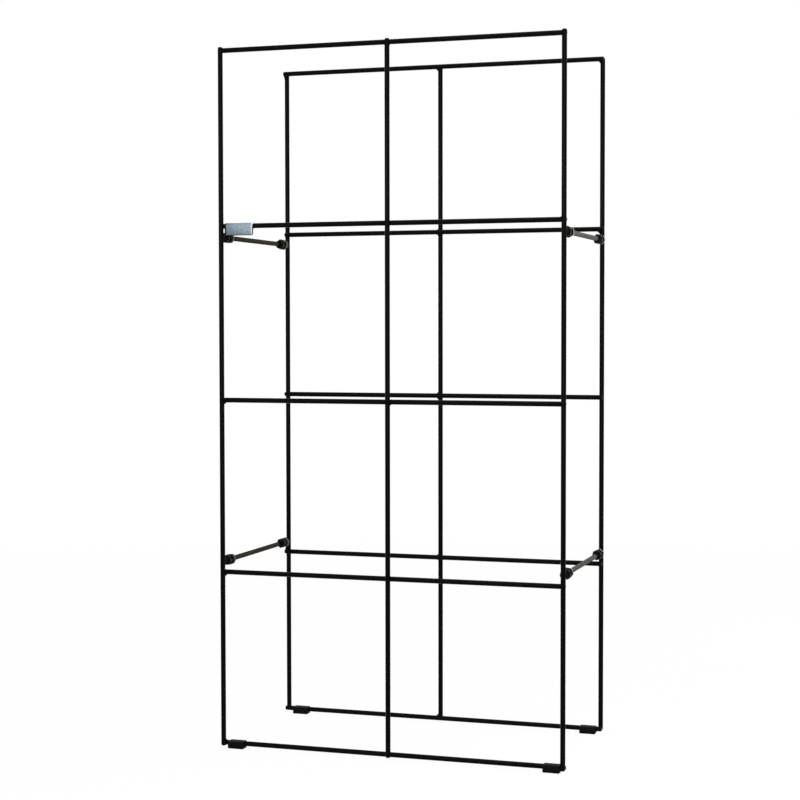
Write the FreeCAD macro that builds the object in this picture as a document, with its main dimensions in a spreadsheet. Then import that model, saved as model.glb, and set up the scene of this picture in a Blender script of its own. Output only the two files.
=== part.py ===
# Plant shelf frame: two welded wire panels held apart by four threaded rods, standing on four clip-on feet.
# Millimetres, +Z up, front towards -Y, origin on the floor under the middle of the frame.
import FreeCAD, Part
import Sketcher
import math
import os

Vector = FreeCAD.Vector

doc = FreeCAD.newDocument("plant_shelf")

# Driving sizes in millimetres, turns in degrees
sizes = {
    # wire grid
    "wire_diameter": 5.65,
    "bay_width": 198.0,
    "tier_height": 197.0,
    "panel_gap": 200.0,
    "weld_set_down": 0.4,
    # wire ends past the outer side of the last wire that they are welded to
    "upright_head_front": 0.5,
    "upright_head_rear": -1.0,
    "upright_foot_front": -0.2,
    "upright_foot_rear": -1.0,
    "crossbar_overhang": -0.1,
    # crossbars as they were welded: a little below the even division, and a little to the left or right
    "drop_lower": 0.5,
    "drop_middle": 1.1,
    "drop_upper": 0.9,
    "shift_front_bottom": -0.3,
    "shift_front_lower": -0.9,
    "shift_front_middle": -0.9,
    "shift_front_upper": -0.6,
    "shift_front_top": -0.9,
    "shift_rear_bottom": 0.0,
    "shift_rear_lower": -0.6,
    "shift_rear_middle": 0.2,
    "shift_rear_upper": 0.9,
    "shift_rear_top": 0.0,
    # rods, studs and coupling nuts
    "thread_diameter": 5.2,
    "thread_clearance": 0.05,
    "thread_engagement": 6.25,
    "rod_offset": 12.5,
    "nut_standoff": 9.05,
    "nut_length": 13.5,
    "nut_across_flats": 11.0,
    "nut_corner_trim": 0.55,
    # turn of each coupling nut about its rod, as it was left when tightened
    "turn_front_left_upper": 0.0,
    "turn_front_left_lower": 4.0,
    "turn_front_right_upper": 28.0,
    "turn_front_right_lower": 51.0,
    "turn_rear_left_upper": 35.0,
    "turn_rear_left_lower": 15.0,
    "turn_rear_right_upper": 49.0,
    "turn_rear_right_lower": 20.0,
    # feet, each slid along its crossbar by hand
    "foot_length": 19.0,
    "foot_depth": 11.6,
    "foot_drop": 2.85,
    "foot_lip": 2.7,
    "foot_mouth": 3.2,
    "foot_bevel": 0.8,
    "foot_clearance": 0.05,
    "foot_inset_front_left": 5.0,
    "foot_inset_front_right": 3.6,
    "foot_inset_rear_left": 9.0,
    "foot_inset_rear_right": 4.7,
    # folded sheet tag on the second crossbar from the top
    "tag_width": 34.1,
    "tag_drop": 10.8,
    "tag_inset": 3.9,
    "tag_thickness": 0.7,
    "tag_clearance": 0.05,
    "tag_bend": 0.9,
    "tag_rim": 1.1,
    "tag_relief": 0.2,
    "tag_corner_round": 1.5,
}

sheet = doc.addObject("Spreadsheet::Sheet", "Sizes")
for row, (name, value) in enumerate(sizes.items(), 1):
    sheet.set("A%d" % row, name)
    sheet.set("B%d" % row, str(value))
    sheet.setAlias("B%d" % row, name)
doc.recompute()

# Relations that several pieces share
axis_to_weld = "(Sizes.wire_diameter - Sizes.weld_set_down) / 2"
upright_y = "(Sizes.panel_gap / 2 + %s)" % axis_to_weld
crossbar_y = "(Sizes.panel_gap / 2 - %s)" % axis_to_weld
bottom_z = "(Sizes.foot_drop + Sizes.wire_diameter / 2)"
wire_radius = "Sizes.wire_diameter / 2"
crossbar_length = "(2 * Sizes.bay_width + Sizes.wire_diameter + 2 * Sizes.crossbar_overhang)"
thread_radius = "Sizes.thread_diameter / 2"
nut_middle = "(Sizes.panel_gap / 2 - Sizes.nut_standoff - Sizes.nut_length / 2)"

columns = {"left": -1, "middle": 0, "right": 1}
tiers = {
    "bottom": bottom_z,
    "lower": "(%s + Sizes.tier_height - Sizes.drop_lower)" % bottom_z,
    "middle": "(%s + 2 * Sizes.tier_height - Sizes.drop_middle)" % bottom_z,
    "upper": "(%s + 3 * Sizes.tier_height - Sizes.drop_upper)" % bottom_z,
    "top": "(%s + 4 * Sizes.tier_height)" % bottom_z,
}
panels = {"front": -1, "rear": 1}
sides = {"left": -1, "right": 1}
rod_heights = {
    "lower": "%s + Sizes.rod_offset" % tiers["lower"],
    "upper": "%s - Sizes.rod_offset" % tiers["upper"],
}

# Lengths under this count as nothing when edges are picked
flat = 0.01

pieces = []


def new_body(label):
    body = doc.addObject("PartDesign::Body", label)
    body.Label = label
    pieces.append(body)
    return body


def new_sketch(body, name, role):
    plane = [item for item in body.Origin.OriginFeatures if item.Role == role][0]
    sketch = body.newObject("Sketcher::SketchObject", "%s_%s" % (body.Name, name))
    sketch.AttachmentSupport = [(plane, "")]
    sketch.MapMode = "FlatFace"
    return sketch


def bind(sketch, constraint, expression):
    # Drives the newest constraint of a sketch from the sheet
    index = sketch.addConstraint(constraint)
    sketch.setExpression("Constraints[%d]" % index, expression)


def add_circle(sketch, radius, x="0", y="0"):
    start_x = sketch.evalExpression(x)
    start_y = sketch.evalExpression(y)
    start_radius = sketch.evalExpression(radius)
    middle = Vector(start_x, start_y, 0)
    circle = sketch.addGeometry(Part.Circle(middle, Vector(0, 0, 1), start_radius))
    bind(sketch, Sketcher.Constraint("Radius", circle, start_radius), radius)
    bind(sketch, Sketcher.Constraint("DistanceX", -1, 1, circle, 3, start_x), x)
    bind(sketch, Sketcher.Constraint("DistanceY", -1, 1, circle, 3, start_y), y)


def add_polygon(sketch, corners):
    # Closed outline, each corner given as a pair of expressions
    points = [Vector(sketch.evalExpression(x), sketch.evalExpression(y), 0) for x, y in corners]
    following = points[1:] + points[:1]
    lines = [sketch.addGeometry(Part.LineSegment(a, b)) for a, b in zip(points, following)]
    for line, after in zip(lines, lines[1:] + lines[:1]):
        sketch.addConstraint(Sketcher.Constraint("Coincident", line, 2, after, 1))
    for line, point, (x, y) in zip(lines, points, corners):
        bind(sketch, Sketcher.Constraint("DistanceX", -1, 1, line, 1, point.x), x)
        bind(sketch, Sketcher.Constraint("DistanceY", -1, 1, line, 1, point.y), y)


def pad(body, sketch, length):
    feature = body.newObject("PartDesign::Pad", "%s_pad" % body.Name)
    feature.Profile = sketch
    feature.SideType = "Symmetric"
    feature.setExpression("Length", length)
    return feature


def pocket(body, sketch, length):
    feature = body.newObject("PartDesign::Pocket", "%s_pocket" % body.Name)
    feature.Profile = sketch
    feature.SideType = "Symmetric"
    feature.setExpression("Length", length)
    return feature


def turn(body, sketch, kind):
    feature = body.newObject("PartDesign::%s" % kind, "%s_%s" % (body.Name, kind.lower()))
    feature.Profile = sketch
    feature.ReferenceAxis = (sketch, ["V_Axis"])
    feature.Angle = 360
    return feature


def edges_of(feature, wanted):
    # Names of the edges that a test picks, once the feature has its shape
    doc.recompute()
    return ["Edge%d" % number for number, edge in enumerate(feature.Shape.Edges, 1) if wanted(edge)]


def round_edges(body, base, radius, wanted):
    feature = body.newObject("PartDesign::Fillet", "%s_round" % body.Name)
    feature.Base = (base, edges_of(base, wanted))
    feature.setExpression("Radius", radius)
    return feature


def bevel_edges(body, base, size, wanted):
    feature = body.newObject("PartDesign::Chamfer", "%s_bevel" % body.Name)
    feature.Base = (base, edges_of(base, wanted))
    feature.setExpression("Size", size)
    return feature


def is_end_edge(edge):
    # True for the edges round the two ends of a bar that lies along X
    return edge.BoundBox.XLength < flat


def place(body, x, y, z, half_turn=False):
    if half_turn:
        body.Placement = FreeCAD.Placement(Vector(), FreeCAD.Rotation(Vector(0, 0, 1), 180))
    body.setExpression("Placement.Base.x", x)
    body.setExpression("Placement.Base.y", y)
    body.setExpression("Placement.Base.z", z)


# Uprights, on the outer side of each panel
def make_upright(panel, column):
    body = new_body("%s_upright_%s" % (panel, column))
    head = "Sizes.upright_head_%s" % panel
    foot = "Sizes.upright_foot_%s" % panel
    outline = new_sketch(body, "section", "XY_Plane")
    add_circle(outline, wire_radius)
    pad(body, outline, "4 * Sizes.tier_height + Sizes.wire_diameter + %s + %s" % (head, foot))
    place(
        body,
        "%d * Sizes.bay_width" % columns[column],
        "%d * %s" % (panels[panel], upright_y),
        "%s + 2 * Sizes.tier_height + (%s - %s) / 2" % (bottom_z, head, foot),
    )


# Crossbars, on the inner side, each set down into the three uprights that it is welded to
def make_crossbar(panel, tier):
    body = new_body("%s_crossbar_%s" % (panel, tier))
    outline = new_sketch(body, "section", "YZ_Plane")
    shift = "%d * Sizes.shift_%s_%s" % (-panels[panel], panel, tier)
    outline.setExpression("AttachmentOffset.Base.z", shift)
    add_circle(outline, wire_radius)
    pad(body, outline, crossbar_length)
    saddles = new_sketch(body, "saddles", "XY_Plane")
    for column in columns.values():
        add_circle(saddles, wire_radius, "%d * Sizes.bay_width" % column, "-2 * %s" % axis_to_weld)
    pocket(body, saddles, "2 * Sizes.wire_diameter")
    place(
        body,
        "0",
        "%d * %s" % (panels[panel], crossbar_y),
        tiers[tier],
        half_turn=panel == "rear",
    )


# Threaded studs, welded to the inner side of the outer uprights
def make_stud(panel, side, height):
    body = new_body("%s_stud_%s_%s" % (panel, side, height))
    root = "(%s - Sizes.weld_set_down)" % wire_radius
    tip = "(%s + Sizes.nut_standoff + Sizes.thread_engagement)" % axis_to_weld
    outline = new_sketch(body, "outline", "XY_Plane")
    add_polygon(outline, [("0", root), (thread_radius, root), (thread_radius, tip), ("0", tip)])
    turn(body, outline, "Revolution")
    saddle = new_sketch(body, "saddle", "XY_Plane")
    add_circle(saddle, wire_radius)
    pocket(body, saddle, "2 * Sizes.thread_diameter")
    place(
        body,
        "%d * Sizes.bay_width" % sides[side],
        "%d * %s" % (panels[panel], upright_y),
        rod_heights[height],
        half_turn=panel == "rear",
    )


# Hexagonal coupling nuts, each joining a stud to a rod
def make_nut(panel, side, height):
    body = new_body("%s_nut_%s_%s" % (panel, side, height))
    corner = "Sizes.nut_across_flats / 2 / cos(30 deg)"
    corners = []
    for step in range(0, 360, 60):
        angle = "(Sizes.turn_%s_%s_%s + %d) * 1 deg" % (panel, side, height, step)
        corners.append(("%s * cos(%s)" % (corner, angle), "%s * sin(%s)" % (corner, angle)))
    hexagon = new_sketch(body, "hexagon", "XZ_Plane")
    add_polygon(hexagon, corners)
    pad(body, hexagon, "Sizes.nut_length")
    # corners trimmed at both ends by a 30 degree cone
    inner = "(%s - Sizes.nut_corner_trim)" % corner
    outer = "Sizes.nut_across_flats"
    end = "Sizes.nut_length / 2"
    cone_foot = "(%s - (%s - %s) * tan(30 deg))" % (end, outer, inner)
    cones = new_sketch(body, "cones", "XY_Plane")
    add_polygon(cones, [(inner, end), (outer, end), (outer, cone_foot)])
    add_polygon(cones, [(inner, "-" + end), (outer, "-" + cone_foot), (outer, "-" + end)])
    turn(body, cones, "Groove")
    bore = new_sketch(body, "bore", "XZ_Plane")
    add_circle(bore, "%s + Sizes.thread_clearance" % thread_radius)
    pocket(body, bore, "2 * Sizes.nut_length")
    place(
        body,
        "%d * Sizes.bay_width" % sides[side],
        "%d * %s" % (panels[panel], nut_middle),
        rod_heights[height],
    )


# Threaded rods from front to rear
def make_rod(side, height):
    body = new_body("rod_%s_%s" % (side, height))
    end = "(%s - Sizes.nut_length / 2 + Sizes.thread_engagement)" % nut_middle
    outline = new_sketch(body, "section", "XZ_Plane")
    add_circle(outline, thread_radius)
    pad(body, outline, "2 * %s" % end)
    place(body, "%d * Sizes.bay_width" % sides[side], "0", rod_heights[height])


# Clip-on feet: the channel holds the bottom crossbar, and a narrower mouth above it snaps over the wire
def make_foot(panel, side):
    body = new_body("%s_foot_%s" % (panel, side))
    side_y = "Sizes.foot_depth / 2"
    edge_y = "(%s - Sizes.foot_bevel)" % side_y
    lip_z = "Sizes.foot_lip"
    base_z = "-" + bottom_z
    block = new_sketch(body, "block", "YZ_Plane")
    add_polygon(block, [
        ("-" + edge_y, base_z),
        (edge_y, base_z),
        (side_y, "%s + Sizes.foot_bevel" % base_z),
        (side_y, "%s - Sizes.foot_bevel" % lip_z),
        (edge_y, lip_z),
        ("-" + edge_y, lip_z),
        ("-" + side_y, "%s - Sizes.foot_bevel" % lip_z),
        ("-" + side_y, "%s + Sizes.foot_bevel" % base_z),
    ])
    solid = pad(body, block, "Sizes.foot_length")
    bevel_edges(body, solid, "Sizes.foot_bevel", is_end_edge)
    channel = new_sketch(body, "channel", "YZ_Plane")
    add_circle(channel, "%s + Sizes.foot_clearance" % wire_radius)
    pocket(body, channel, "2 * Sizes.foot_length")
    mouth = new_sketch(body, "mouth", "YZ_Plane")
    mouth_y = "Sizes.foot_mouth / 2"
    mouth_top = "2 * Sizes.foot_lip"
    add_polygon(mouth, [
        ("-" + mouth_y, "0"),
        (mouth_y, "0"),
        (mouth_y, mouth_top),
        ("-" + mouth_y, mouth_top),
    ])
    pocket(body, mouth, "2 * Sizes.foot_length")
    inset = "Sizes.foot_inset_%s_%s" % (panel, side)
    place(
        body,
        "%d * (Sizes.bay_width - %s - Sizes.foot_length / 2)" % (sides[side], inset),
        "%d * %s" % (panels[panel], crossbar_y),
        bottom_z,
    )


# Sheet tag: a front leaf that folds over the crossbar and comes back up behind itself
def make_tag():
    body = new_body("sheet_tag")
    hole = "(%s + Sizes.tag_clearance)" % wire_radius
    loop = "(%s + Sizes.tag_thickness)" % hole
    back = "(Sizes.tag_thickness - %s)" % hole
    fold = new_sketch(body, "fold", "YZ_Plane")
    hole_radius = fold.evalExpression(hole)
    loop_radius = fold.evalExpression(loop)
    back_y = fold.evalExpression(back)
    bend = sizes["tag_bend"]
    low = -sizes["tag_drop"]
    # the reverse bend lies against the loop and runs out straight down the back leaf
    reach = loop_radius + bend
    lean = math.acos((back_y + bend) / reach)
    bend_middle = Vector(reach * math.cos(lean), -reach * math.sin(lean), 0)
    up = Vector(0, 0, 1)
    loop_circle = Part.Circle(Vector(), up, loop_radius)
    bend_circle = Part.Circle(bend_middle, up, bend)
    back_top = Vector(back_y, bend_middle.y, 0)
    front_low = Vector(-loop_radius, low, 0)
    back_low = Vector(back_y, low, 0)
    front = fold.addGeometry(Part.LineSegment(front_low, Vector(-loop_radius, 0, 0)))
    over = fold.addGeometry(Part.ArcOfCircle(loop_circle, -lean, math.pi))
    under = fold.addGeometry(Part.ArcOfCircle(bend_circle, math.pi - lean, math.pi))
    rear = fold.addGeometry(Part.LineSegment(back_top, back_low))
    foot = fold.addGeometry(Part.LineSegment(back_low, front_low))
    fold.addConstraint(Sketcher.Constraint("Coincident", front, 2, over, 2))
    fold.addConstraint(Sketcher.Constraint("Coincident", over, 3, -1, 1))
    fold.addConstraint(Sketcher.Constraint("Tangent", over, 1, under, 1))
    fold.addConstraint(Sketcher.Constraint("Tangent", under, 2, rear, 1))
    fold.addConstraint(Sketcher.Constraint("Coincident", rear, 2, foot, 1))
    fold.addConstraint(Sketcher.Constraint("Coincident", foot, 2, front, 1))
    fold.addConstraint(Sketcher.Constraint("PointOnObject", front, 2, -1))
    fold.addConstraint(Sketcher.Constraint("Vertical", front))
    fold.addConstraint(Sketcher.Constraint("Vertical", rear))
    fold.addConstraint(Sketcher.Constraint("Horizontal", foot))
    bind(fold, Sketcher.Constraint("Radius", over, loop_radius), loop)
    bind(fold, Sketcher.Constraint("Radius", under, bend), "Sizes.tag_bend")
    bind(fold, Sketcher.Constraint("DistanceX", -1, 1, rear, 2, back_y), back)
    bind(fold, Sketcher.Constraint("DistanceY", -1, 1, front, 1, low), "-Sizes.tag_drop")
    add_circle(fold, hole)
    sheet_metal = pad(body, fold, "Sizes.tag_width")

    def is_lower_corner(edge):
        ends = [vertex.Point for vertex in edge.Vertexes]
        low_enough = all(abs(end.z - low) < flat for end in ends)
        return low_enough and abs(ends[0].x - ends[-1].x) < flat

    round_edges(body, sheet_metal, "Sizes.tag_corner_round", is_lower_corner)
    # shallow field inside a raised rim
    field = new_sketch(body, "field", "XZ_Plane")
    field.setExpression("AttachmentOffset.Base.z", loop)
    half_field = "(Sizes.tag_width / 2 - Sizes.tag_rim)"
    add_polygon(field, [
        ("-" + half_field, "Sizes.tag_rim - Sizes.tag_drop"),
        (half_field, "Sizes.tag_rim - Sizes.tag_drop"),
        (half_field, "0"),
        ("-" + half_field, "0"),
    ])
    pocket(body, field, "2 * Sizes.tag_relief")
    place(
        body,
        "Sizes.tag_inset + Sizes.tag_width / 2 - Sizes.bay_width",
        "-%s" % crossbar_y,
        tiers["upper"],
    )


for panel in panels:
    for column in columns:
        make_upright(panel, column)
    for tier in tiers:
        make_crossbar(panel, tier)
    for side in sides:
        for height in rod_heights:
            make_stud(panel, side, height)
            make_nut(panel, side, height)
        make_foot(panel, side)
for side in sides:
    for height in rod_heights:
        make_rod(side, height)
make_tag()

doc.recompute()
for item in doc.Objects:
    if "Invalid" in item.State or "Error" in item.State:
        raise RuntimeError("%s did not build" % item.Name)

os.makedirs("parts", exist_ok=True)
for piece in pieces:
    if piece.Shape.isNull() or not piece.Shape.isValid():
        raise RuntimeError("%s has no valid shape" % piece.Label)
    piece.Shape.exportStep("parts/%s.step" % piece.Label)
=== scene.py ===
import math
import random

import bmesh
import bpy
from mathutils import Matrix, Vector


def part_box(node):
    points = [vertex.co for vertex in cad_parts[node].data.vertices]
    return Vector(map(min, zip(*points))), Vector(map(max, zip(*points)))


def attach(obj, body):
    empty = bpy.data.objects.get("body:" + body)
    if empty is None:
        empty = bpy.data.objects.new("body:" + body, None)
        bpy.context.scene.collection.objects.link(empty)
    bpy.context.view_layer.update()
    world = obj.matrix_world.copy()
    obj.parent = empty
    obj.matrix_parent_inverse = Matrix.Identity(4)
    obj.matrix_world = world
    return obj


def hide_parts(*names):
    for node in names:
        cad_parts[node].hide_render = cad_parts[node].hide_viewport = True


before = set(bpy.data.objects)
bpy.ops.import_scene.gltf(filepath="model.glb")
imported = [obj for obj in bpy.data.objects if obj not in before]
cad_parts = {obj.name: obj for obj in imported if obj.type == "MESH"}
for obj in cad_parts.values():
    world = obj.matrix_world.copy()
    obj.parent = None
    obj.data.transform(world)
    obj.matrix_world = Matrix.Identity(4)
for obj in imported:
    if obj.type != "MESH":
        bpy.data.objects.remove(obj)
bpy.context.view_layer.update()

mm = 0.001
panels = ("front", "rear")
columns = ("left", "middle", "right")
sides = ("left", "right")
tiers = ("bottom", "lower", "middle", "upper", "top")
rodHeights = ("lower", "upper")
print("frame loaded:", len(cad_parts), "nodes")


# meshes and pieces

meshCare = {
    "weldWithin": 0.002 * mm,
    "leastEdge": 0.001 * mm,
}


def nodeMiddle(node):
    low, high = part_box(node)
    return (low + high) / 2


def fadeIn(value, width):
    # 0 up to zero, 1 from width on
    return min(max(value / width, 0.0), 1.0)


def arcPoints(count):
    return [math.tau * i / count for i in range(count)]


def weldPoints(bm):
    bmesh.ops.remove_doubles(bm, verts=bm.verts, dist=meshCare["weldWithin"])
    bmesh.ops.dissolve_degenerate(bm, edges=bm.edges, dist=meshCare["leastEdge"])


def addPiece(name, bm, material, nodes=(), sharpAngle=35):
    # welds close points, turns faces outwards and keeps creases over sharpAngle crisp
    weldPoints(bm)
    bmesh.ops.recalc_face_normals(bm, faces=bm.faces)
    for face in bm.faces:
        face.smooth = True
    for edge in bm.edges:
        if len(edge.link_faces) == 2:
            edge.smooth = edge.calc_face_angle() < math.radians(sharpAngle)
    mesh = bpy.data.meshes.new(name)
    bm.to_mesh(mesh)
    bm.free()
    mesh.materials.append(material)
    piece = bpy.data.objects.new(name, mesh)
    bpy.context.scene.collection.objects.link(piece)
    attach(piece, "root")
    if nodes:
        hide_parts(*nodes)


def addRings(bm, rings, wear=(), looped=False):
    # skins rings of equal point counts, capped at both ends or looped back to the first ring
    layers = bm.verts.layers.float
    # edge wear, and on the nuts also a painted glint
    wearLayer = layers.get("edgeWearAndGlint") or layers.new("edgeWearAndGlint")
    rows = [[bm.verts.new(point) for point in ring] for ring in rings]
    for row, shares in zip(rows, wear):
        for vert, share in zip(row, shares):
            vert[wearLayer] = share
    count = len(rows[0])
    for row, after in zip(rows, rows[1:] + rows[:1] if looped else rows[1:]):
        for i in range(count):
            j = (i + 1) % count
            bm.faces.new((row[i], row[j], after[j], after[i]))
    if not looped:
        bm.faces.new(rows[0])
        bm.faces.new(rows[-1])
    return rows


# shader writing

class Signal:
    # one shader socket, so that maths on it reads as plain Python
    def __init__(self, finish, socket):
        self.finish = finish
        self.socket = socket

    def maths(self, operation, first, second):
        node = self.finish.add("ShaderNodeMath", {"operation": operation}, {0: first, 1: second})
        return self.finish.out(node, 0)

    def __add__(self, other):
        return self.maths("ADD", self, other)

    def __radd__(self, other):
        return self.maths("ADD", other, self)

    def __sub__(self, other):
        return self.maths("SUBTRACT", self, other)

    def __rsub__(self, other):
        return self.maths("SUBTRACT", other, self)

    def __mul__(self, other):
        return self.maths("MULTIPLY", self, other)

    def __rmul__(self, other):
        return self.maths("MULTIPLY", other, self)

    def __truediv__(self, other):
        return self.maths("DIVIDE", self, other)

    def __rtruediv__(self, other):
        return self.maths("DIVIDE", other, self)

    def above(self, level, softness):
        # 0 below level, 1 above it, with a soft step
        return ((self - level) / softness + 0.5).clamped()

    def clamped(self):
        node = self.finish.add("ShaderNodeClamp", {}, {"Value": self})
        return self.finish.out(node, "Result")


class Finish:
    # the nodes of one material, or of the world
    def __init__(self, owner, output="ShaderNodeOutputMaterial"):
        owner.use_nodes = True
        self.owner = owner
        self.tree = owner.node_tree
        self.tree.nodes.clear()
        self.result = self.add(output, {}, {})

    def add(self, kind, settings, sockets):
        node = self.tree.nodes.new(kind)
        for key, value in settings.items():
            setattr(node, key, value)
        for key, value in sockets.items():
            if isinstance(value, Signal):
                self.tree.links.new(value.socket, node.inputs[key])
            else:
                node.inputs[key].default_value = value
        return node

    def out(self, node, key):
        return Signal(self, node.outputs[key])

    def place(self):
        return self.out(self.add("ShaderNodeTexCoord", {}, {}), "Object")

    def stretched(self, vector, scale):
        node = self.add("ShaderNodeVectorMath", {"operation": "MULTIPLY"}, {0: vector, 1: scale})
        return self.out(node, "Vector")

    def noise(self, vector, perMetre, detail):
        sockets = {"Vector": vector, "Scale": perMetre, "Detail": detail}
        return self.out(self.add("ShaderNodeTexNoise", {}, sockets), "Fac")

    def cells(self, vector, perMetre):
        sockets = {"Vector": vector, "Scale": perMetre}
        return self.out(self.add("ShaderNodeTexVoronoi", {}, sockets), "Color")

    def grey(self, colour):
        return self.out(self.add("ShaderNodeRGBToBW", {}, {"Color": colour}), "Val")

    def attribute(self, name):
        return self.out(self.add("ShaderNodeAttribute", {"attribute_name": name}, {}), "Fac")

    def mixed(self, share, first, second):
        node = self.add("ShaderNodeMix", {"data_type": "RGBA"}, {0: share, 6: first, 7: second})
        return self.out(node, 2)

    def bump(self, height, depth, strength):
        sockets = {"Height": height, "Distance": depth, "Strength": strength}
        return self.out(self.add("ShaderNodeBump", {}, sockets), "Normal")

    def seenDirectly(self):
        # 1 for rays from the camera, off gloss and through glass
        rays = self.add("ShaderNodeLightPath", {}, {})
        straight = self.out(rays, "Is Camera Ray") + self.out(rays, "Is Glossy Ray")
        return (straight + self.out(rays, "Is Transmission Ray")).clamped()

    def mixedShaders(self, share, first, second):
        sockets = {0: share, 1: self.out(first, 0), 2: self.out(second, 0)}
        return self.done(self.add("ShaderNodeMixShader", {}, sockets))

    def principled(self, sockets):
        return self.done(self.add("ShaderNodeBsdfPrincipled", {}, sockets))

    def done(self, node):
        self.tree.links.new(node.outputs[0], self.result.inputs["Surface"])
        return self.owner


def newFinish(name):
    return Finish(bpy.data.materials.new(name))


def rgba(colour):
    return (*colour, 1.0)


# finishes

blackCoatLook = {
    "dark": (0.0009, 0.0009, 0.0008),
    "pale": (0.0022, 0.0022, 0.0020),
    "worn": (0.024, 0.023, 0.021),
    "wornShare": 0.5,
    "cloudsPerMetre": 45.0,
    "specksPerMetre": 2600.0,
    "peelPerMetre": 520.0,
    "peelDepth": 0.06 * mm,
    "roughness": 0.14,
    "cloudRough": 0.08,
    "speckRough": 0.04,
    "mirror": 0.032,
}


def makeBlackCoat():
    look = blackCoatLook
    finish = newFinish("blackPowderCoat")
    place = finish.place()
    clouds = finish.noise(place, look["cloudsPerMetre"], detail=4.0)
    peel = finish.noise(place, look["peelPerMetre"], detail=2.0)
    specks = finish.noise(place, look["specksPerMetre"], detail=1.0)
    chipped = specks.above(level=0.5, softness=0.12)
    worn = finish.attribute("edgeWearAndGlint") * chipped * look["wornShare"]
    coat = finish.mixed(clouds, rgba(look["dark"]), rgba(look["pale"]))
    return finish.principled({
        "Base Color": finish.mixed(worn, coat, rgba(look["worn"])),
        "Roughness": clouds * look["cloudRough"] + specks * look["speckRough"] + look["roughness"],
        "Specular IOR Level": look["mirror"],
        "Normal": finish.bump(peel, look["peelDepth"], strength=0.12),
    })


rodSteelLook = {
    "left": {  # painted shade: a shaded copy of the same steel, darker and browner than the right pair
        "crest": (0.052, 0.046, 0.038),
        "dull": (0.031, 0.027, 0.022),
        "root": (0.0125, 0.0108, 0.0085),
    },
    # painted light: a lit copy of the same steel, paler than the left pair
    "right": {
        "crest": (0.125, 0.126, 0.118),
        "dull": (0.072, 0.072, 0.067),
        "root": (0.028, 0.028, 0.026),
    },
    # rear ends of the rods: partly the nut's black paint, partly painted contact shade
    "black": (0.0015, 0.0014, 0.0012),
    "stainsPerMetre": 120.0,
    "stainStretch": (1.0, 0.35, 1.0),
    "grainPerMetre": 1500.0,
    "grainDepth": 0.02 * mm,
    "roughness": 0.42,
    "stainRough": 0.16,
    "grainRough": 0.1,
    "mirror": 0.012,
}


def makeRodSteel(side):
    look = rodSteelLook
    # the left pair gets painted shade, the right pair painted light
    steelOf = look[side]
    finish = newFinish(side + "ThreadedSteelPaintedLighting")
    place = finish.place()
    height = finish.attribute("threadHeight")
    along = finish.stretched(place, look["stainStretch"])
    stains = finish.noise(along, look["stainsPerMetre"], detail=4.0)
    grain = finish.noise(place, look["grainPerMetre"], detail=2.0)
    crest = finish.mixed(stains, rgba(steelOf["crest"]), rgba(steelOf["dull"]))
    steel = finish.mixed(height, rgba(steelOf["root"]), crest)
    return finish.principled({
        "Base Color": finish.mixed(finish.attribute("blackAndShadeShare"), steel, rgba(look["black"])),
        "Roughness": stains * look["stainRough"] + grain * look["grainRough"] + look["roughness"],
        "Specular IOR Level": look["mirror"],
        "Normal": finish.bump(grain, look["grainDepth"], strength=0.3),
    })


nutSteelLook = {
    "bright": (0.0030, 0.0029, 0.0027),
    "dull": (0.0013, 0.0012, 0.0011),
    # pale metal for worn edges, also the painted highlight on the edges and painted light on the rear flats
    "bare": (0.76, 0.74, 0.69),
    "bareAndLitLeast": 0.35,
    "bareAndLitDrawn": 0.5,
    "drawnPerMetre": 1800.0,
    "drawnStretch": (1.0, 0.06, 1.0),
    "drawnDepth": 0.02 * mm,
    "stainsPerMetre": 160.0,
    "roughness": 0.58,
    "drawnRough": 0.12,
    "stainRough": 0.10,
    "bareAndLitSmooth": 0.2,
    "mirror": 0.006,
}


def makeNutSteel():
    look = nutSteelLook
    finish = newFinish("blackenedHexSteel")
    place = finish.place()
    along = finish.stretched(place, look["drawnStretch"])
    drawn = finish.noise(along, look["drawnPerMetre"], detail=3.0)
    stains = finish.noise(place, look["stainsPerMetre"], detail=4.0)
    black = finish.mixed(stains, rgba(look["dull"]), rgba(look["bright"]))
    # pale share: partly wear, partly painted highlight and painted light
    bare = finish.attribute("edgeWearAndGlint") * (look["bareAndLitLeast"] + drawn * look["bareAndLitDrawn"])
    rough = drawn * look["drawnRough"] + stains * look["stainRough"] + look["roughness"]
    return finish.principled({
        "Base Color": finish.mixed(bare, black, rgba(look["bare"])),
        "Roughness": rough - bare * look["bareAndLitSmooth"],
        "Specular IOR Level": look["mirror"],
        "Normal": finish.bump(drawn, look["drawnDepth"], strength=0.2),
    })


footRubberLook = {
    "dark": (0.0014, 0.0014, 0.0013),
    "dusty": (0.0055, 0.0053, 0.0050),
    # painted shade where the foot meets the floor
    "under": (0.0003, 0.0003, 0.0003),
    "bloomPerMetre": 140.0,
    "bloomDust": 0.7,
    "edgeDust": 0.35,
    "grainPerMetre": 2400.0,
    "grainDepth": 0.06 * mm,
    "roughness": 0.58,
    "bloomRough": 0.16,
    "mirror": 0.06,
}


def makeFootRubber():
    look = footRubberLook
    finish = newFinish("mattBlackRubber")
    place = finish.place()
    bloom = finish.noise(place, look["bloomPerMetre"], detail=5.0)
    grain = finish.noise(place, look["grainPerMetre"], detail=2.0)
    dusty = (bloom * look["bloomDust"] + finish.attribute("edgeWearAndGlint") * look["edgeDust"]).clamped()
    rubber = finish.mixed(dusty, rgba(look["dark"]), rgba(look["dusty"]))
    return finish.principled({
        # painted shade along the floor
        "Base Color": finish.mixed(finish.attribute("paintedUnderShade"), rubber, rgba(look["under"])),
        "Roughness": bloom * look["bloomRough"] + look["roughness"],
        "Specular IOR Level": look["mirror"],
        "Normal": finish.bump(grain, look["grainDepth"], strength=0.4),
    })


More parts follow.
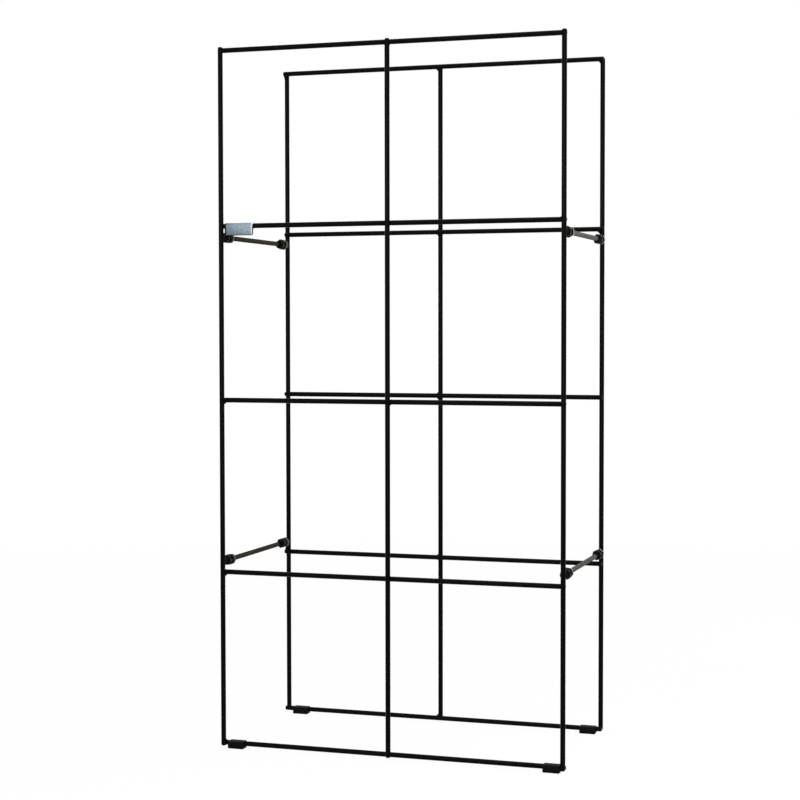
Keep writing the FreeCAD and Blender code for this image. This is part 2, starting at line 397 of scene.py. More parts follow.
tagZincLook = {
    "pale": (0.375, 0.465, 0.535),
    "grey": (0.072, 0.088, 0.105),
    # painted highlight of the curved right rim
    "rim": (0.78, 0.85, 0.91),
    # dark sheared metal, also the painted shade at the left end
    "cutAndShade": (0.012, 0.013, 0.015),
    "spanglePerMetre": 420.0,
    "spangleBright": 0.35,
    "hazePerMetre": 260.0,
    "hazeBright": 0.35,
    "paintedLightBright": 0.8,
    "stained": 0.3,
    "rimBright": 1.1,
    "rolledPerMetre": 2600.0,
    "rolledStretch": (0.05, 1.0, 1.0),
    "rolledDepth": 0.02 * mm,
    "spangleRelief": 0.4,
    "metal": 0.25,
    "roughness": 0.34,
    "hazeRough": 0.14,
    "spangleRough": 0.1,
    "cutRough": 0.2,
    "mirror": 0.15,
}


def makeTagZinc():
    look = tagZincLook
    finish = newFinish("zincPlatedSheet")
    place = finish.place()
    spangle = finish.grey(finish.cells(place, look["spanglePerMetre"]))
    haze = finish.noise(place, look["hazePerMetre"], detail=4.0)
    across = finish.stretched(place, look["rolledStretch"])
    rolled = finish.noise(across, look["rolledPerMetre"], detail=2.0)
    # painted light: the face paler towards the top and the right end, darker at the lower left
    paintedLight = finish.attribute("paintedLightShare")
    cutAndShade = finish.attribute("cutEdgeAndShade")
    bright = spangle * look["spangleBright"] + haze * look["hazeBright"] + paintedLight * look["paintedLightBright"]
    bright = (bright - look["stained"]).clamped()
    sheet = finish.mixed(bright, rgba(look["grey"]), rgba(look["pale"]))
    # painted highlight along the right end
    paleBand = (finish.attribute("rimShare") * paintedLight * look["rimBright"]).clamped()
    rimmed = finish.mixed(paleBand, sheet, rgba(look["rim"]))
    rough = haze * look["hazeRough"] + spangle * look["spangleRough"] + cutAndShade * look["cutRough"]
    relief = rolled + spangle * look["spangleRelief"]
    return finish.principled({
        "Base Color": finish.mixed(cutAndShade, rimmed, rgba(look["cutAndShade"])),
        "Metallic": look["metal"] - cutAndShade * look["metal"],
        "Roughness": rough + look["roughness"],
        "Specular IOR Level": look["mirror"],
        "Normal": finish.bump(relief, look["rolledDepth"], strength=0.25),
    })


blackCoat = makeBlackCoat()
rodSteel = {side: makeRodSteel(side) for side in sides}
nutSteel = makeNutSteel()
footRubber = makeFootRubber()
tagZinc = makeTagZinc()
print("finishes made")


# wires of the two panels

wireShape = {
    "segments": 28,
    "endRound": 1.9 * mm,
    "roundSteps": 6,
}


def addWire(node, along):
    # a straight wire with softly rounded cut ends, along axis 0 or 2
    low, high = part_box(node)
    middle = (low + high) / 2
    radius = (high[1] - low[1]) / 2
    rounding = wireShape["endRound"]
    steps = wireShape["roundSteps"]
    stations = []
    for i in range(steps + 1):
        angle = math.pi / 2 * i / steps
        place = low[along] + rounding * (1 - math.sin(angle))
        stations.append((place, radius - rounding * (1 - math.cos(angle)), math.sin(2 * angle)))
    stations += [(low[along] + high[along] - place, ring, worn) for place, ring, worn in stations]
    stations.sort()
    across = 2 - along
    segments = wireShape["segments"]
    rings = []
    for place, ringRadius, worn in stations:
        ring = []
        for angle in arcPoints(segments):
            point = middle.copy()
            point[along] = place
            point[1] += ringRadius * math.cos(angle)
            point[across] += ringRadius * math.sin(angle)
            ring.append(point)
        rings.append(ring)
    bm = bmesh.new()
    addRings(bm, rings, [[worn] * segments for place, ringRadius, worn in stations])
    addPiece(node + "_wire", bm, blackCoat, [node])


for panel in panels:
    for column in columns:
        addWire(f"{panel}_upright_{column}", 2)
    for tier in tiers:
        addWire(f"{panel}_crossbar_{tier}", 0)
print("wires made")


# weld beads, one round each crossing and each stud root

weldShape = {
    "fillet": 1.1 * mm,  # all round each crossing
    "fullness": 0.6,  # of the laid beads: 0 is hollow, 1 is flat
    "laid": {  # corners of a crossing where more metal was laid, and the bead's radius there
        "front_left_bottom": ("above right", 3.0 * mm),
        "front_left_lower": ("below right", 2.8 * mm),
        "front_left_middle": ("below right", 2.8 * mm),
        "front_middle_middle": ("below right", 2.2 * mm),
        "front_middle_top": ("below right", 2.2 * mm),
        "front_right_upper": ("above left", 3.0 * mm),
        "rear_left_lower": ("above left", 5.0 * mm),
        "rear_left_upper": ("below left", 5.0 * mm),
        "rear_left_top": ("below left", 5.0 * mm),
        "rear_middle_bottom": ("above left", 2.9 * mm),
        "rear_middle_lower": ("above below left", 2.3 * mm),
        "rear_middle_middle": ("above below left", 2.6 * mm),
        "rear_middle_upper": ("above below left", 2.5 * mm),
        "rear_middle_top": ("below left", 2.9 * mm),
        "rear_right_upper": ("below left", 3.6 * mm),
        "rear_right_top": ("below left", 3.0 * mm),
    },
    "cornerFrom": 0.1,  # sine of the angle from the wire at which a laid bead starts to grow
    "cornerOver": 0.5,
    "endRoom": 0.35 * mm,  # kept clear of the wires' ends
    "farEnd": 20,  # in rooms, an end that no longer matters
    "studBead": 0.5 * mm,
    "heavyStuds": {"front_stud_right_lower": 1.3 * mm},
    "studOut": 0.2,  # how far the rope's middle stands off the stud and the upright, in beads
    "uprightOut": 0.3,
    "spread": 0.12,  # from crossing to crossing
    "lump": 0.10,  # round one bead
    "around": 44,
    "across": 7,
    "seed": 7,
}

weldDice = random.Random(weldShape["seed"])


def arcBetween(middle, first, second, steps):
    # points on the round from first to second about middle
    a = first - middle
    b = second - middle
    turn = a.angle(b)
    if turn < 1e-5:
        return [first.copy() for _ in range(steps + 1)]
    points = []
    for i in range(steps + 1):
        share = i / steps
        spoke = a * math.sin((1 - share) * turn) + b * math.sin(share * turn)
        points.append(middle + spoke / math.sin(turn))
    return points


def makeWobble():
    # uneven thickness round one bead
    phases = [weldDice.uniform(0, math.tau) for _ in range(3)]

    def wobble(angle):
        waves = [math.sin(angle * (k + 2) + phase) for k, phase in enumerate(phases)]
        return 1 + weldShape["lump"] * sum(waves) / len(waves)

    return wobble


def crossingPoint(reach, gap, angle):
    # where two tubes of one reach round the crossing wires meet, gap is half the distance of their axes
    y = -(reach - gap) * math.cos(2 * angle)
    x = math.sqrt(max(0.0, reach ** 2 - (y + gap) ** 2))
    z = math.sqrt(max(0.0, reach ** 2 - (y - gap) ** 2))
    return Vector((math.copysign(x, math.cos(angle)), y, math.copysign(z, math.sin(angle))))


def addCrossingBead(bm, upright, crossbar, fillet, bead, laid):
    # rolling ball bead between an upright and a crossbar, cut off flush with the wires' ends
    uprightLow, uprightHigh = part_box(upright)
    crossbarLow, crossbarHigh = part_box(crossbar)
    uprightMiddle = nodeMiddle(upright)
    crossbarMiddle = nodeMiddle(crossbar)
    radius = (uprightHigh.x - uprightLow.x) / 2
    inward = 1 if crossbarMiddle.y > uprightMiddle.y else -1
    gap = abs(crossbarMiddle.y - uprightMiddle.y) / 2
    middle = Vector((uprightMiddle.x, (uprightMiddle.y + crossbarMiddle.y) / 2, crossbarMiddle.z))
    edge = weldShape["endRoom"]

    def softly(room):
        # room left before the wire's end, slowed down so that it never runs out
        if room > weldShape["farEnd"] * edge:
            return room
        return edge * math.log1p(math.exp(room / edge))

    def heldIn(value, low, high):
        value = high - softly(high - value)
        return low + softly(value - low)

    def towards(value):
        return fadeIn(value - weldShape["cornerFrom"], weldShape["cornerOver"])

    def beadShare(angle):
        # 1 in the corners that got the thicker bead, easing to 0 away from them
        rise = math.sin(angle)
        run = math.cos(angle)
        above = towards(rise) if "above" in laid else 0.0
        below = towards(-rise) if "below" in laid else 0.0
        return max(above, below) * towards(run if "right" in laid else -run)

    wobble = makeWobble()
    sections = []
    for angle in arcPoints(weldShape["around"]):
        laidShare = beadShare(angle)
        ball = (fillet + (bead - fillet) * laidShare) * wobble(angle)
        centre = crossingPoint(radius + ball, gap, angle)
        share = radius / (radius + ball)
        onUpright = Vector((centre.x * share, -gap + (centre.y + gap) * share, centre.z))
        onCrossbar = Vector((centre.x, gap + (centre.y - gap) * share, centre.z * share))
        inner = crossingPoint(radius, gap, angle)
        hollow = arcBetween(centre, onUpright, onCrossbar, weldShape["across"])
        section = []
        for i, point in enumerate(hollow):
            straight = onUpright.lerp(onCrossbar, i / weldShape["across"])
            section.append(point.lerp(straight, weldShape["fullness"] * laidShare))
        section.append(inner)
        placed = []
        for point in section:
            spot = middle + Vector((point.x, point.y * inward, point.z))
            spot.x = heldIn(spot.x, crossbarLow.x + edge, crossbarHigh.x - edge)
            spot.z = heldIn(spot.z, uprightLow.z + edge, uprightHigh.z - edge)
            placed.append(spot)
        sections.append(placed)
    addRings(bm, sections, looped=True)


def addStudBead(bm, upright, stud):
    # rope of weld metal where a stud's round end meets the side of the upright
    uprightLow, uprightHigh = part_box(upright)
    studLow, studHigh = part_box(stud)
    radius = (uprightHigh.x - uprightLow.x) / 2
    uprightMiddle = nodeMiddle(upright)
    studMiddle = nodeMiddle(stud)
    inward = 1 if studMiddle.y > uprightMiddle.y else -1
    origin = Vector((uprightMiddle.x, uprightMiddle.y, studMiddle.z))
    bead = weldShape["heavyStuds"].get(stud, weldShape["studBead"])
    reach = (studHigh.x - studLow.x) / 2 + weldShape["studOut"] * bead
    side = radius + weldShape["uprightOut"] * bead
    wobble = makeWobble()
    sections = []
    for angle in arcPoints(weldShape["around"]):
        out = Vector((math.cos(angle), 0, math.sin(angle)))
        x = reach * math.cos(angle)
        seat = Vector((x, math.sqrt(max(0.0, side ** 2 - x ** 2)), reach * math.sin(angle)))
        section = []
        for turn in arcPoints(2 * weldShape["across"]):
            spoke = out * math.cos(turn) + Vector((0, math.sin(turn), 0))
            point = seat + spoke * bead * wobble(angle)
            section.append(origin + Vector((point.x, point.y * inward, point.z)))
        sections.append(section)
    addRings(bm, sections, looped=True)


for panel in panels:
    beads = bmesh.new()
    for column in columns:
        for tier in tiers:
            spread = 1 + weldShape["spread"] * weldDice.uniform(-1, 1)
            fillet = weldShape["fillet"] * spread
            laid, bead = weldShape["laid"].get(f"{panel}_{column}_{tier}", ("", fillet))
            upright = f"{panel}_upright_{column}"
            addCrossingBead(beads, upright, f"{panel}_crossbar_{tier}", fillet, bead, laid)
    for side in sides:
        for height in rodHeights:
            addStudBead(beads, f"{panel}_upright_{side}", f"{panel}_stud_{side}_{height}")
    addPiece(f"{panel}_weld_beads", beads, blackCoat, sharpAngle=60)
print("weld beads made")


# threaded rods and studs

threadShape = {
    "pitch": 1.0 * mm,
    "profile": ((0.0, 1.0), (0.15, 1.0), (0.575, 0.0)),  # shares of pitch and of height
    "rod": (2.80 * mm, 2.32 * mm),  # radius at the crest and at the root
    "coatedStud": (2.75 * mm, 2.45 * mm),
    "segments": 16,
    "plainRoot": 2.2 * mm,  # of each stud, at its weld
    "blackAndShadeEnd": 10.25 * mm,  # of each rod, before its rear nut: the nut's black paint on the thread, with painted contact shade
    "blackFade": 5.0 * mm,
    "nutDepth": 6.25 * mm,  # of each rod, inside the nut
}


def addThread(node, material, slotName, radii, plainStart=0.0, plainEnd=0.0, blackAndShadeEnd=0.0):
    # one helical ridge along Y, run out to the root at both ends
    low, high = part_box(node)
    middle = (low + high) / 2
    crest, root = radii
    pitch = threadShape["pitch"]
    segments = threadShape["segments"]
    profile = threadShape["profile"]
    turns = math.ceil((high.y - low.y) / pitch) + 2
    rows = turns * len(profile)
    start = low.y - pitch
    bm = bmesh.new()
    heightLayer = bm.verts.layers.float.new("threadHeight")
    blackLayer = bm.verts.layers.float.new("blackAndShadeShare")
    grid = []
    for row in range(rows + len(profile)):
        place, ridge = profile[row % len(profile)]
        line = []
        for i in range(segments):
            angle = math.tau * i / segments
            y = start + pitch * (row // len(profile) + place + i / segments)
            y = min(max(y, low.y), high.y)
            fade = min((y - low.y - plainStart) / pitch, (high.y - plainEnd - y) / pitch, 1.0)
            height = ridge * max(fade, 0.0)
            radius = root + (crest - root) * height
            x = middle.x + radius * math.cos(angle)
            z = middle.z + radius * math.sin(angle)
            vert = bm.verts.new((x, y, z))
            vert[heightLayer] = height
            # darkens the thread before the rear nut: black paint and painted contact shade
            vert[blackLayer] = fadeIn(y - high.y + blackAndShadeEnd, threadShape["blackFade"])
            line.append(vert)
        grid.append(line)
    step = len(profile)
    for row in range(rows - 1):
        for i in range(segments):
            j = (i + 1) % segments
            across = row + step if j == 0 else row  # the seam steps on by one turn
            if across + 1 < len(grid):
                bm.faces.new((grid[row][i], grid[across][j], grid[across + 1][j], grid[row + 1][i]))
    weldPoints(bm)
    bmesh.ops.delete(bm, geom=[v for v in bm.verts if not v.link_faces], context="VERTS")
    bmesh.ops.holes_fill(bm, edges=bm.edges, sides=0)
    addPiece(node + "_thread", bm, material, [node], sharpAngle=25)


blackAndShadeLength = threadShape["blackAndShadeEnd"] + threadShape["blackFade"] + threadShape["nutDepth"]
plain = threadShape["plainRoot"]
for side in sides:
    for height in rodHeights:
        rod = f"rod_{side}_{height}"
        addThread(rod, rodSteel[side], "rod_steel", threadShape["rod"], blackAndShadeEnd=blackAndShadeLength)
        for panel in panels:
            stud = f"{panel}_stud_{side}_{height}"
            ends = (plain, 0.0) if panel == "front" else (0.0, plain)
            addThread(stud, blackCoat, "black_coat", threadShape["coatedStud"], *ends)
print("rods and studs made")


# hexagonal coupling nuts

nutShape = {
    "acrossFlats": 11.0 * mm,
    "face": 5.15 * mm,
    "cornerEase": 0.18 * mm,
    "chamfer": math.radians(30),
    "bore": 2.4 * mm,
    "sink": 0.5 * mm,
    "paleBand": 0.3 * mm,  # width of the pale band along each edge: partly wear, partly a painted highlight
    "mouthWearAndGlint": 0.15,
    "faceWearAndGlint": 0.2,
    "cornerWearAndGlint": 0.15,
    "bareAndLitFade": 0.7 * mm,
    "bareAndLitEnd": {  # length and paleness of the band at the rear end: partly bare grey metal, partly painted light on the flats, far paler on the right-hand nuts
        "front_left": (4.0 * mm, 0.18),
        "front_right": (1.8 * mm, 0.9),
        "rear_left": (6.0 * mm, 0.18),
        "rear_right": (2.0 * mm, 1.0),
    },
    "sideSteps": (0, 3, 10, 20, 30, 40, 50, 57),  # degrees on from each corner
    "turns": {
        "front_left_upper": 0, "front_left_lower": 4, "front_right_upper": 28, "front_right_lower": 51,
        "rear_left_upper": 35, "rear_left_lower": 15, "rear_right_upper": 49, "rear_right_lower": 20,
    },
}


def addNut(node, turn, bareAndLitEnd, bareAndLitShare):
    # hexagon bar with its ends turned to a cone, drilled through, black but for a pale band at its rear
    # end, partly bare metal and partly painted light
    shape = nutShape
    low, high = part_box(node)
    middle = (low + high) / 2
    half = (high.y - low.y) / 2
    flat = shape["acrossFlats"] / 2
    corner = flat / math.cos(math.pi / 6) - shape["cornerEase"]
    slope = math.tan(shape["chamfer"])
    degrees = [60 * side + step for side in range(6) for step in shape["sideSteps"]]

    def hexRadius(degree):
        fromCorner = math.radians((degree + 30) % 60 - 30)
        return min(flat / math.cos(math.pi / 6 - abs(fromCorner)), corner)

    def shoulder(degree):
        return half - max(0.0, hexRadius(degree) - shape["face"]) * slope

    def atCorner(degree):
        return shape["cornerWearAndGlint"] if degree % 60 == 0 else 0.0

    bore = shape["bore"]
    face = shape["face"]
    paleBand = shape["paleBand"]
    mouth = bore + shape["sink"]
    # radius, height and edge wear with painted glint of each ring from the bore out to the flats
    faceRings = [
        (lambda a: bore, lambda a: half - shape["sink"], lambda a: 0.0),
        (lambda a: mouth, lambda a: half, lambda a: shape["mouthWearAndGlint"]),
        (lambda a: mouth + paleBand, lambda a: half, lambda a: 0.0),
        (lambda a: face - paleBand, lambda a: half, lambda a: 0.0),
        (lambda a: face, lambda a: half, lambda a: shape["faceWearAndGlint"]),
    ]
    blackRings = [
        (hexRadius, shoulder, lambda a: 0.0),
        (hexRadius, lambda a: shoulder(a) - paleBand, atCorner),
    ]
    bareAndLitRings = [
        (hexRadius, shoulder, lambda a: bareAndLitShare),
        (hexRadius, lambda a: shoulder(a) - bareAndLitEnd, lambda a: bareAndLitShare),
        (hexRadius, lambda a: shoulder(a) - bareAndLitEnd - shape["bareAndLitFade"], atCorner),
    ]
    rings = []
    wear = []
    for end, order in ((-1, faceRings + blackRings), (1, (faceRings + bareAndLitRings)[::-1])):
        for radiusAt, heightAt, wearAt in order:
            ring = []
            for degree in degrees:
                around = math.radians(degree + turn)
                out = radiusAt(degree)
                spot = Vector((out * math.cos(around), end * heightAt(degree), out * math.sin(around)))
                ring.append(middle + spot)
            rings.append(ring)
            wear.append([wearAt(degree) for degree in degrees])
    bm = bmesh.new()
    addRings(bm, rings, wear, looped=True)
    addPiece(node + "_hex", bm, nutSteel, [node], sharpAngle=20)


for corner, turn in nutShape["turns"].items():
    panel, side, height = corner.split("_")
    addNut(f"{panel}_nut_{side}_{height}", turn, *nutShape["bareAndLitEnd"][f"{panel}_{side}"])
print("coupling nuts made")


# clip-on feet

footShape = {
    "edgeRound": 0.8 * mm,
    "roundSteps": 5,
    "cornerSteps": 6,
    "channelSteps": 18,
    "leastRound": 0.3 * mm,
    "slack": 0.03 * mm,
    "halfMouth": 1.6 * mm,
    "lipWear": 0.5,
    "endEase": 0.5,  # how far the lip and the corners follow the rounding of the ends
    "paintedShadeHeight": 1.6 * mm,  # painted shade: near-black rubber along the floor
}


def footSection(halfDepth, base, lip, corner, channel):
    # outline of the clip in Y and Z about the wire's axis, open at the top, with its edge wear
    steps = footShape["cornerSteps"]
    points = []
    corners = (
        (-halfDepth + corner, base + corner, math.pi),
        (halfDepth - corner, base + corner, 1.5 * math.pi),
        (halfDepth - corner, lip - corner, 0.0),
        (-halfDepth + corner, lip - corner, 0.5 * math.pi),
    )

    def quarter(y, z, start):
        for i in range(steps + 1):
            turn = math.pi / 2 * i / steps
            out = corner * math.cos(start + turn)
            up = corner * math.sin(start + turn)
            points.append((y + out, z + up, math.sin(2 * turn)))

    for y, z, start in corners[:3]:
        quarter(y, z, start)
    # down one lip, round the channel and up the other
    halfMouth = footShape["halfMouth"]
    mouth = math.acos(halfMouth / channel)
    sweep = math.pi + 2 * mouth
    points.append((halfMouth, lip, footShape["lipWear"]))
    for i in range(footShape["channelSteps"] + 1):
        angle = mouth - sweep * i / footShape["channelSteps"]
        points.append((channel * math.cos(angle), channel * math.sin(angle), 0.0))
    points.append((-halfMouth, lip, footShape["lipWear"]))
    quarter(*corners[3])
    return points


def addFoot(node, crossbar):
    low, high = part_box(node)
    barLow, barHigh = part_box(crossbar)
    axis = nodeMiddle(crossbar)
    channel = (barHigh.z - barLow.z) / 2 + footShape["slack"]
    rounding = footShape["edgeRound"]
    steps = footShape["roundSteps"]
    stations = []
    for i in range(steps + 1):
        angle = math.pi / 2 * i / steps
        x = low.x + rounding * (1 - math.sin(angle))
        stations.append((x, rounding * (1 - math.cos(angle)), math.sin(2 * angle)))
    stations += [(low.x + high.x - x, inset, worn) for x, inset, worn in stations]
    rings = []
    wear = []
    for x, inset, worn in sorted(stations):
        halfDepth = (high.y - low.y) / 2 - inset
        eased = inset * footShape["endEase"]
        corner = max(rounding - eased, footShape["leastRound"])
        lip = high.z - axis.z - eased
        section = footSection(halfDepth, low.z - axis.z + inset, lip, corner, channel)
        rings.append([Vector((x, axis.y + y, axis.z + z)) for y, z, edge in section])
        wear.append([max(worn, edge) for y, z, edge in section])
    bm = bmesh.new()
    paintedShadeLayer = bm.verts.layers.float.new("paintedUnderShade")
    for row in addRings(bm, rings, wear):
        for vert in row:
            vert[paintedShadeLayer] = 1.0 if vert.co.z - low.z < footShape["paintedShadeHeight"] else 0.0
    addPiece(node + "_clip", bm, footRubber, [node], sharpAngle=40)


for panel in panels:
    for side in sides:
        addFoot(f"{panel}_foot_{side}", f"{panel}_crossbar_bottom")
print("feet made")


# folded sheet tag, left bare

tagShape = {
    "thickness": 0.7 * mm,
    "slack": 0.05 * mm,
    "cornerRound": 2.0 * mm,
    "edgeRound": 0.5 * mm,
    "edgeDrop": 0.32 * mm,
    "cutWidth": {"left": 2.2 * mm, "right": 1.1 * mm, "below": 1.0 * mm},  # dark sheared edge; the wide strip at the left end is painted shade
    "cutFade": 0.4 * mm,
    "burr": 0.4 * mm,  # past the left end
    "brightEnd": 2.6 * mm,  # painted highlight: a pale strip at the right end
    "brightFade": 0.5 * mm,
    "dullFold": 0.2,  # darker along the top of the fold
    "foldFade": 2.0 * mm,
    "foldTurn": 0.9,  # radians of the fold that still belong to the face
    "pinch": 1.05,  # thicknesses from leaf to leaf under the wire
    "paintedLightUp": 0.5,  # painted light: paler towards the fold and towards the right end
    "paintedLightAcross": 0.25,
    "rimWidth": 1.4 * mm,
    "rimSlope": 0.5 * mm,
    "rimHeight": 0.28 * mm,
    "bend": 1.25 * mm,
    "acrossSteps": 40,
    "alongSteps": 90,
    "edgeInsets": (0.08, 0.2, 0.35, 0.5, 0.7, 0.9, 1.1, 1.3, 1.55, 1.9, 2.4),  # mm in from the outline
}


def addTag(node, crossbar):
    # a strip that runs up the front, over the wire and back down behind itself
    shape = tagShape
    low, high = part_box(node)
    axis = nodeMiddle(crossbar)
    barLow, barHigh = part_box(crossbar)
    thick = shape["thickness"]
    loop = (barHigh.z - barLow.z) / 2 + shape["slack"] + thick / 2
    drop = axis.z - low.z
    bend = shape["bend"]
    backY = thick * shape["pinch"] - loop
    lean = math.acos((backY + bend) / (loop + bend))
    bendMiddle = Vector((math.cos(lean), -math.sin(lean))) * (loop + bend)
    frontLength = drop
    overLength = loop * (math.pi + lean)
    underLength = bend * lean
    backLength = drop + bendMiddle.y
    total = frontLength + overLength + underLength + backLength

    def spine(along):
        # place and outward side in Y and Z at a length along the strip
        if along < frontLength:
            return Vector((-loop, along - drop)), Vector((-1, 0))
        along -= frontLength
        if along < overLength:
            angle = math.pi - along / loop
            side = Vector((math.cos(angle), math.sin(angle)))
            return side * loop, side
        along -= overLength
        if along < underLength:
            angle = math.pi - lean + along / bend
            side = Vector((math.cos(angle), math.sin(angle)))
            return bendMiddle + side * bend, -side
        along -= underLength
        return Vector((backY, bendMiddle.y - along)), Vector((1, 0))

    halfWidth = (high.x - low.x + shape["burr"]) / 2
    middleX = (high.x + low.x - shape["burr"]) / 2
    roundness = shape["cornerRound"]
    faceLength = frontLength + loop * shape["foldTurn"]
    insets = [inset * mm for inset in shape["edgeInsets"]]
    alongs = [total * i / shape["alongSteps"] for i in range(shape["alongSteps"] + 1)]
    alongs += insets + [total - inset for inset in insets] + [faceLength - inset for inset in insets]
    alongs = sorted(set(round(value, 7) for value in alongs))
    acrosses = [2 * i / shape["acrossSteps"] - 1 for i in range(shape["acrossSteps"] + 1)]
    acrosses += [1 - inset / halfWidth for inset in insets] + [inset / halfWidth - 1 for inset in insets]
    acrosses = sorted(set(round(value, 5) for value in acrosses))

    def atFold(along):
        return fadeIn(along - faceLength + shape["foldFade"], shape["foldFade"])

    def cutAndShadeShare(x, along):
        # dark where the sheet was sheared, at both ends of the face and along its foot; the wide strip at
        # the left end is painted shade
        width = shape["cutWidth"]
        reaches = (
            (halfWidth + x, width["left"]),
            (halfWidth - x, width["right"] * (1 - atFold(along))),
            (along, width["below"]),
            (total - along, width["below"]),
        )
        return max(fadeIn(edge - inset, shape["cutFade"]) for inset, edge in reaches)

    bm = bmesh.new()
    rimLayer = bm.verts.layers.float.new("rimShare")
    cutAndShadeLayer = bm.verts.layers.float.new("cutEdgeAndShade")
    paintedLightLayer = bm.verts.layers.float.new("paintedLightShare")
    outer = []
    inner = []
    for along in alongs:
        fromEnd = min(along, total - along)
        narrowing = 0.0
        if fromEnd < roundness:
            narrowing = roundness - math.sqrt(max(0.0, roundness ** 2 - (roundness - fromEnd) ** 2))
        place, side = spine(along)
        outerRow = []
        innerRow = []
        for across in acrosses:
            x = across * (halfWidth - narrowing)
            inset = min(halfWidth - narrowing - abs(x), fromEnd)
            edge = fadeIn(inset, shape["edgeRound"])
            field = fadeIn(inset - shape["rimWidth"], shape["rimSlope"])
            field *= fadeIn(faceLength - along, shape["rimWidth"])
            sink = shape["edgeDrop"] * (1 - math.sin(edge * math.pi / 2)) + shape["rimHeight"] * field
            top = place + side * (thick / 2 - sink)
            under = place - side * (thick / 2)
            vert = bm.verts.new((middleX + x, axis.y + top.x, axis.z + top.y))
            vert[rimLayer] = fadeIn(shape["brightEnd"] - halfWidth + x, shape["brightFade"])
            vert[cutAndShadeLayer] = max(cutAndShadeShare(x, along), shape["dullFold"] * atFold(along))
            # painted light across the face
            paintedLightUp = shape["paintedLightUp"] * fadeIn(along, faceLength)
            vert[paintedLightLayer] = paintedLightUp + shape["paintedLightAcross"] * (1 + across)
            outerRow.append(vert)
            vert = bm.verts.new((middleX + x, axis.y + under.x, axis.z + under.y))
            vert[cutAndShadeLayer] = cutAndShadeShare(x, along)
            innerRow.append(vert)
        outer.append(outerRow)
        inner.append(innerRow)
    rows = len(alongs)
    count = len(acrosses)
    for r in range(rows - 1):
        for c in range(count - 1):
            bm.faces.new((outer[r][c], outer[r][c + 1], outer[r + 1][c + 1], outer[r + 1][c]))
            bm.faces.new((inner[r][c], inner[r + 1][c], inner[r + 1][c + 1], inner[r][c + 1]))
        for c in (0, count - 1):
            bm.faces.new((outer[r][c], outer[r + 1][c], inner[r + 1][c], inner[r][c]))
    for r in (0, rows - 1):
        for c in range(count - 1):
            bm.faces.new((outer[r][c], inner[r][c], inner[r][c + 1], outer[r][c + 1]))
    addPiece(node + "_fold", bm, tagZinc, [node], sharpAngle=50)


addTag("sheet_tag", "front_crossbar_upper")
print("tag made")


# floor, world, lights and camera

stageLook = {
    "floorSize": 12.0,
    "floorColour": (0.97, 0.97, 0.97),
    "white": (1.0, 1.0, 1.0),
    "shadowShare": 0.05,  # of lit paint near the frame, which takes the shadow
    "fadeFrom": 0.5,
    "fadeOver": 1.6,
    "ambient": 0.25,
}


def makeFloor():
    look = stageLook
    bm = bmesh.new()
    bmesh.ops.create_grid(bm, x_segments=1, y_segments=1, size=look["floorSize"] / 2)
    mesh = bpy.data.meshes.new("paleFloor")
    bm.to_mesh(mesh)
    bm.free()
    floor = bpy.data.objects.new("paleFloor", mesh)
    bpy.context.scene.collection.objects.link(floor)
    finish = newFinish("paleFloorPaint")
    length = finish.add("ShaderNodeVectorMath", {"operation": "LENGTH"}, {0: finish.place()})
    halfway = look["fadeFrom"] + look["fadeOver"] / 2
    away = finish.out(length, "Value").above(halfway, look["fadeOver"])
    white = finish.seenDirectly() * (1 - look["shadowShare"] * (1 - away))
    paint = finish.add("ShaderNodeBsdfDiffuse", {}, {"Color": rgba(look["floorColour"])})
    glow = finish.add("ShaderNodeEmission", {}, {"Color": rgba(look["white"]), "Strength": 1.0})
    mesh.materials.append(finish.mixedShaders(white, paint, glow))


def makeWorld():
    look = stageLook
    finish = Finish(bpy.data.worlds.new("studio"), "ShaderNodeOutputWorld")
    white = rgba(look["white"])
    soft = finish.add("ShaderNodeBackground", {}, {"Color": white, "Strength": look["ambient"]})
    backdrop = finish.add("ShaderNodeBackground", {}, {"Color": white, "Strength": 1.0})
    bpy.context.scene.world = finish.mixedShaders(finish.seenDirectly(), soft, backdrop)


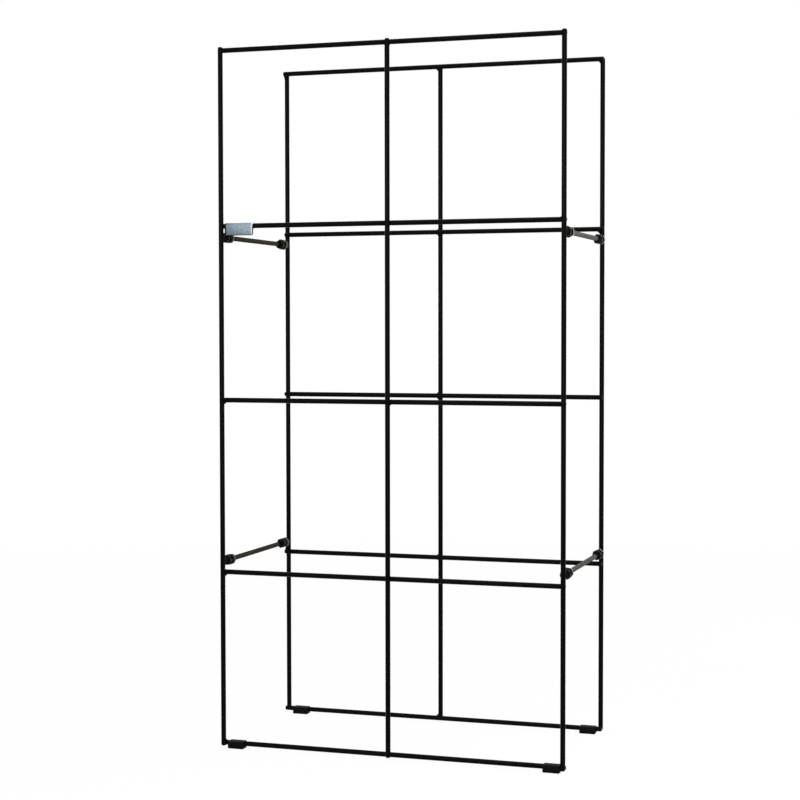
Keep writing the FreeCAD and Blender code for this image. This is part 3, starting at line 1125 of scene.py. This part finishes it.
lamps = {  # the tall and the wide fill lamp put a stripe of gloss on the wires
    "keyRight": {"place": (0.66, -0.25, 0.82), "aim": (0.1, 0.0, 0.5), "size": (0.3, 0.3), "watts": 3.4},
    "rimRight": {"place": (0.62, 1.05, 0.45), "aim": (0.2, 0.0, 0.4), "size": (0.6, 0.6), "watts": 2.6},
    "softTop": {"place": (0.1, -0.2, 2.4), "aim": (0.0, 0.0, 0.4), "size": (1.6, 1.6), "watts": 26.0},
    "fillTall": {"place": (0.5, -2.0, 0.85), "aim": (0.0, 0.0, 0.4), "size": (0.3, 1.6), "watts": 14.0},
    "fillWide": {"place": (-0.6, -2.0, 1.0), "aim": (0.0, 0.0, 0.4), "size": (1.2, 0.25), "watts": 7.0},
}
glossless = ("keyRight", "rimRight")  # would grey the black wires


def makeLamps():
    for name, lamp in lamps.items():
        light = bpy.data.lights.new(name, "AREA")
        light.shape = "RECTANGLE"
        light.size, light.size_y = lamp["size"]
        light.energy = lamp["watts"]
        holder = bpy.data.objects.new(name, light)
        holder.location = lamp["place"]
        aim = Vector(lamp["aim"]) - Vector(lamp["place"])
        holder.rotation_euler = aim.to_track_quat("-Z", "Y").to_euler()
        holder.visible_camera = False
        holder.visible_glossy = name not in glossless
        bpy.context.scene.collection.objects.link(holder)


cameraSetup = {
    "place": (0.6117, -1.9580, 0.4789),
    "forward": (-0.30616, 0.95115, -0.03985),
    "roll": math.radians(-0.07),
    "lens": 79.841,
    "sensor": 36.0,
}


def makeCamera():
    setup = cameraSetup
    data = bpy.data.cameras.new("photoCamera")
    data.lens = setup["lens"]
    data.sensor_width = setup["sensor"]
    data.sensor_fit = "HORIZONTAL"
    forward = Vector(setup["forward"]).normalized()
    right = forward.cross(Vector((0, 0, 1))).normalized()
    up = right.cross(forward)
    turn = Matrix((right, up, -forward)).transposed().to_4x4()
    camera = bpy.data.objects.new("photoCamera", data)
    camera.matrix_world = Matrix.Translation(setup["place"]) @ turn @ Matrix.Rotation(setup["roll"], 4, "Z")
    bpy.context.scene.collection.objects.link(camera)
    bpy.context.scene.camera = camera


makeFloor()
makeWorld()
makeLamps()
makeCamera()
bpy.context.scene.view_settings.view_transform = "Standard"
print("stage made")

bpy.context.view_layer.update()
